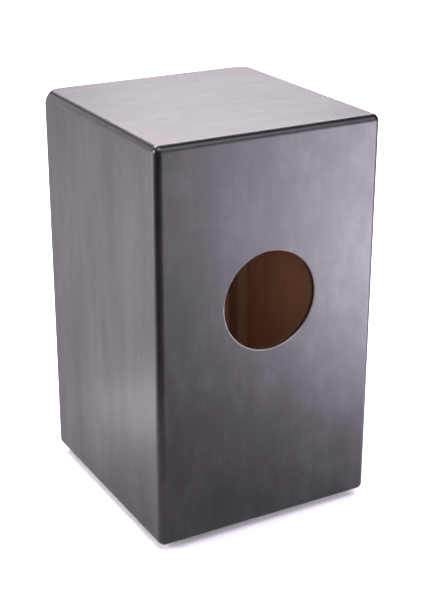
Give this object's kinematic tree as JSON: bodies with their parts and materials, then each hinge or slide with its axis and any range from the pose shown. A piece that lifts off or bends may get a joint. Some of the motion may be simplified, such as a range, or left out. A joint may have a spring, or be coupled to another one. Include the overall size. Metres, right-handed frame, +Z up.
{
  "type": "cajon",
  "caption": "Box drum to sit on: stained plywood box with a round sound hole at the back, a thin screwed playing face, an inner string snare with hex-key tuners, and rubber feet.",
  "frame": {"origin": "middle of the footprint, on the floor under the rubber feet", "axes": "+Z up; -Y is the tapa (playing face), +Y the back with the sound hole; X is the width"},
  "size_m": [0.285, 0.3, 0.49],
  "materials": {
    "stained_plywood": "anthracite stain under satin lacquer outside, bare reddish-brown inside",
    "tapa_veneer": "anthracite stained veneer, satin lacquer",
    "inner_wood": "bare planed hardwood",
    "foot_rubber": "moulded black rubber",
    "zinc_steel": "zinc plated",
    "black_screw": "black oxide",
    "bolt_steel": "black oxide steel",
    "brass": "plain brass",
    "string_steel": "bright drawn wire"
  },
  "bodies": {
    "box": {"seat_panel": "stained_plywood", "bottom_panel": "stained_plywood", "left_side_panel": "stained_plywood", "right_side_panel": "stained_plywood", "back_panel": "stained_plywood", "tapa": "tapa_veneer", "tapa_screws": "black_screw", "front_batten_left": "inner_wood", "front_batten_right": "inner_wood", "front_rail_top": "inner_wood", "front_rail_bottom": "inner_wood", "back_batten_left": "inner_wood", "back_batten_right": "inner_wood", "back_rail_top": "inner_wood", "back_rail_bottom": "inner_wood", "foot_front_left": "foot_rubber", "foot_front_right": "foot_rubber", "foot_rear_left": "foot_rubber", "foot_rear_right": "foot_rubber", "foot_washers": "zinc_steel", "foot_screws": "zinc_steel", "string_anchor_left": "zinc_steel", "string_anchor_right": "zinc_steel", "anchor_screws": "zinc_steel", "upper_end_plate_left": "brass", "upper_end_plate_right": "brass", "upper_plate_screw_left": "zinc_steel", "upper_plate_screw_right": "zinc_steel", "tuner_bush_left": "brass", "tuner_bush_right": "brass", "carriage_guide_left": "zinc_steel", "carriage_guide_right": "zinc_steel", "guide_screws": "zinc_steel", "strings_left": "string_steel", "strings_right": "string_steel"},
    "tuner_left": {"tuning_bolt_left": "bolt_steel", "bolt_clip_left": "zinc_steel"},
    "tuner_right": {"tuning_bolt_right": "bolt_steel", "bolt_clip_right": "zinc_steel"},
    "carriage_left": {"tension_carriage_left": "zinc_steel", "lower_end_plate_left": "brass", "lower_plate_screw_left": "zinc_steel"},
    "carriage_right": {"tension_carriage_right": "zinc_steel", "lower_end_plate_right": "brass", "lower_plate_screw_right": "zinc_steel"}
  },
  "joints": [
    {"name": "tuner_left_turn", "type": "hinge", "parent": "box", "child": "tuner_left", "pos_m": [-0.046, -0.1345, 0.01], "axis": [0, 0, 1], "range_deg": [-1080, 1080]},
    {"name": "carriage_left_slide", "type": "slide", "parent": "box", "child": "carriage_left", "axis": [0, 0, -1], "range_m": [-0.003, 0.003], "deforming": ["strings_left"]},
    {"name": "tuner_right_turn", "type": "hinge", "parent": "box", "child": "tuner_right", "pos_m": [0.046, -0.1345, 0.01], "axis": [0, 0, 1], "range_deg": [-1080, 1080]},
    {"name": "carriage_right_slide", "type": "slide", "parent": "box", "child": "carriage_right", "axis": [0, 0, -1], "range_m": [-0.003, 0.003], "deforming": ["strings_right"]}
  ],
  "couplings": [
    {"joint": "tuner_left_turn", "follows": "carriage_left_slide", "rad_per_m": 6283.2},
    {"joint": "tuner_right_turn", "follows": "carriage_right_slide", "rad_per_m": 6283.2}
  ]
}
